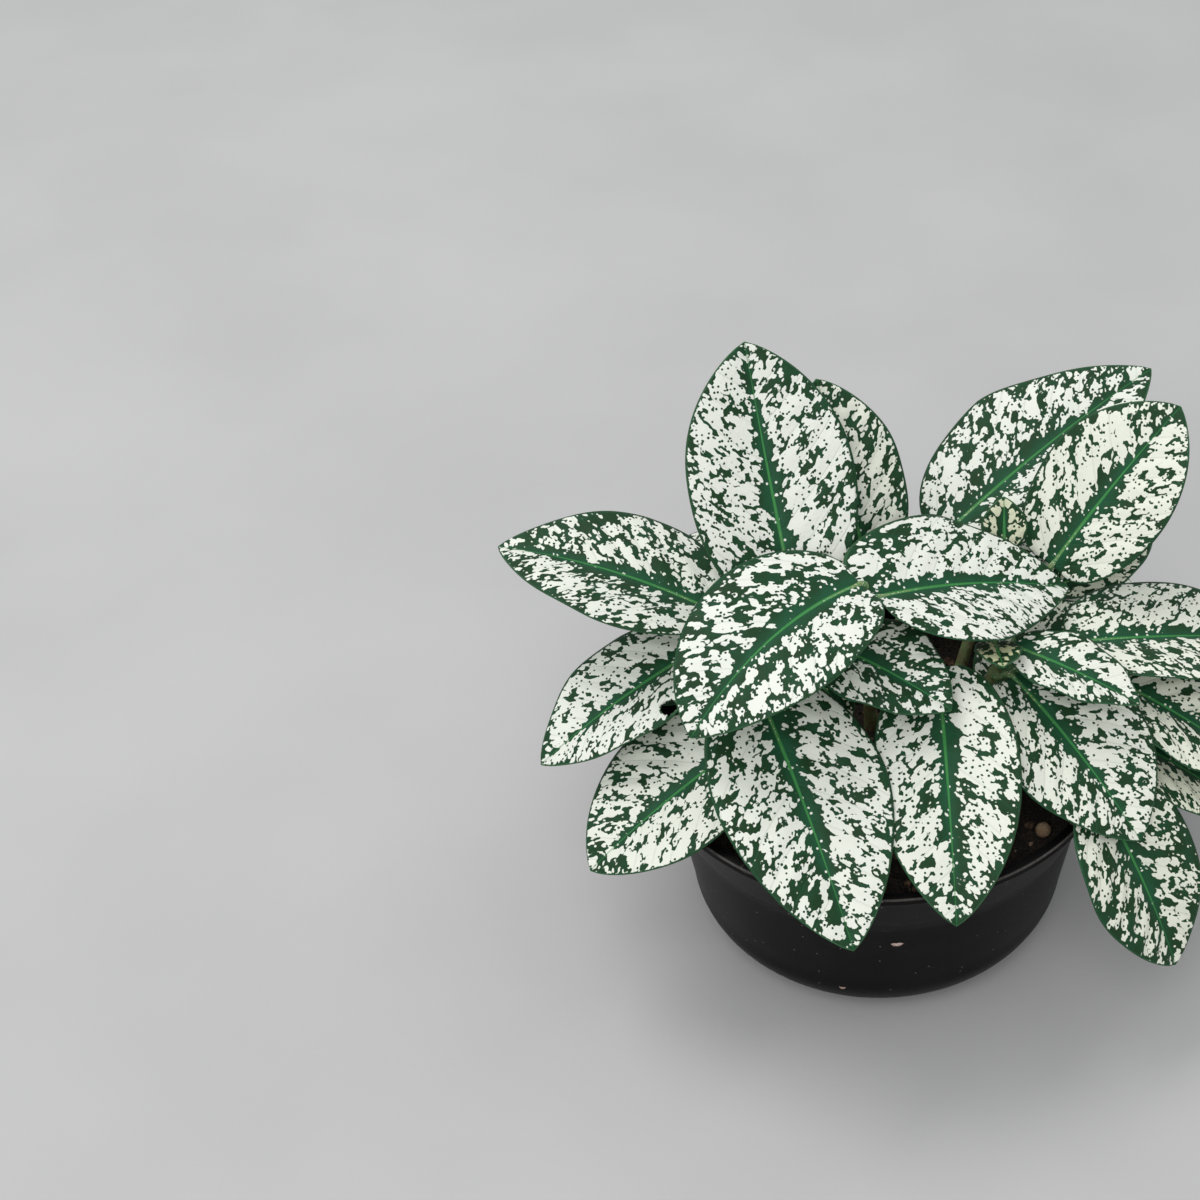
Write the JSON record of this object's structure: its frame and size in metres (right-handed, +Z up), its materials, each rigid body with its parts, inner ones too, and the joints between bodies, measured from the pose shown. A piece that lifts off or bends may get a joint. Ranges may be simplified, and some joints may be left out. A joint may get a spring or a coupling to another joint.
{
  "type": "potted polka dot plant",
  "caption": "Bushy potted plant with white leaves mottled in green, in a low round black plastic nursery pot with soil.",
  "frame": {"origin": "centre of the pot's flat foot, on the surface that it stands on", "axes": "+Z up out of the pot, -Y towards the plant's front, +X to the viewer's right"},
  "size_m": [0.2021, 0.1666, 0.1475],
  "materials": {
    "pot": "satin",
    "soil": "matte",
    "pebble": "matte",
    "stem": "matte",
    "leaf": "satin",
    "young_leaf": "satin"
  },
  "bodies": {
    "root": {"pot": "pot", "soil": "soil", "soil_pebble": "pebble", "centre_stem": "stem", "left_stem": "stem", "back_left_stem": "stem", "back_stem": "stem", "back_right_stem": "stem", "right_stem": "stem", "front_stem": "stem", "leaf_crown_left": "leaf", "leaf_crown_right": "leaf", "leaf_crown_front": "leaf", "leaf_crown_back": "leaf", "leaf_left_upright": "leaf", "leaf_left_outer": "leaf", "leaf_left_low": "leaf", "leaf_left_lowest": "leaf", "leaf_left_inner": "young_leaf", "leaf_front_left": "leaf", "leaf_front": "leaf", "leaf_back_right_outer": "leaf", "leaf_back_right_inner": "leaf", "leaf_back_right_young": "young_leaf", "leaf_right_back": "leaf", "leaf_right_outer": "leaf", "leaf_right_low": "leaf", "leaf_right_lowest": "leaf", "leaf_right_small": "leaf", "leaf_right_young": "young_leaf", "leaf_right_front": "leaf", "leaf_right_hanging": "leaf", "leaf_back_left_high": "leaf", "leaf_back_left_side": "leaf", "leaf_back_left_low": "leaf", "leaf_back_high": "leaf", "leaf_back_low": "leaf", "leaf_back_middle": "leaf", "leaf_back_side": "leaf", "leaf_back_left_inner": "leaf", "leaf_back_left_young": "young_leaf", "leaf_back_young": "young_leaf", "leaf_left_back_low": "leaf", "leaf_right_inner": "leaf", "leaf_back_right_low": "leaf", "leaf_right_middle": "leaf"}
  },
  "joints": []
}
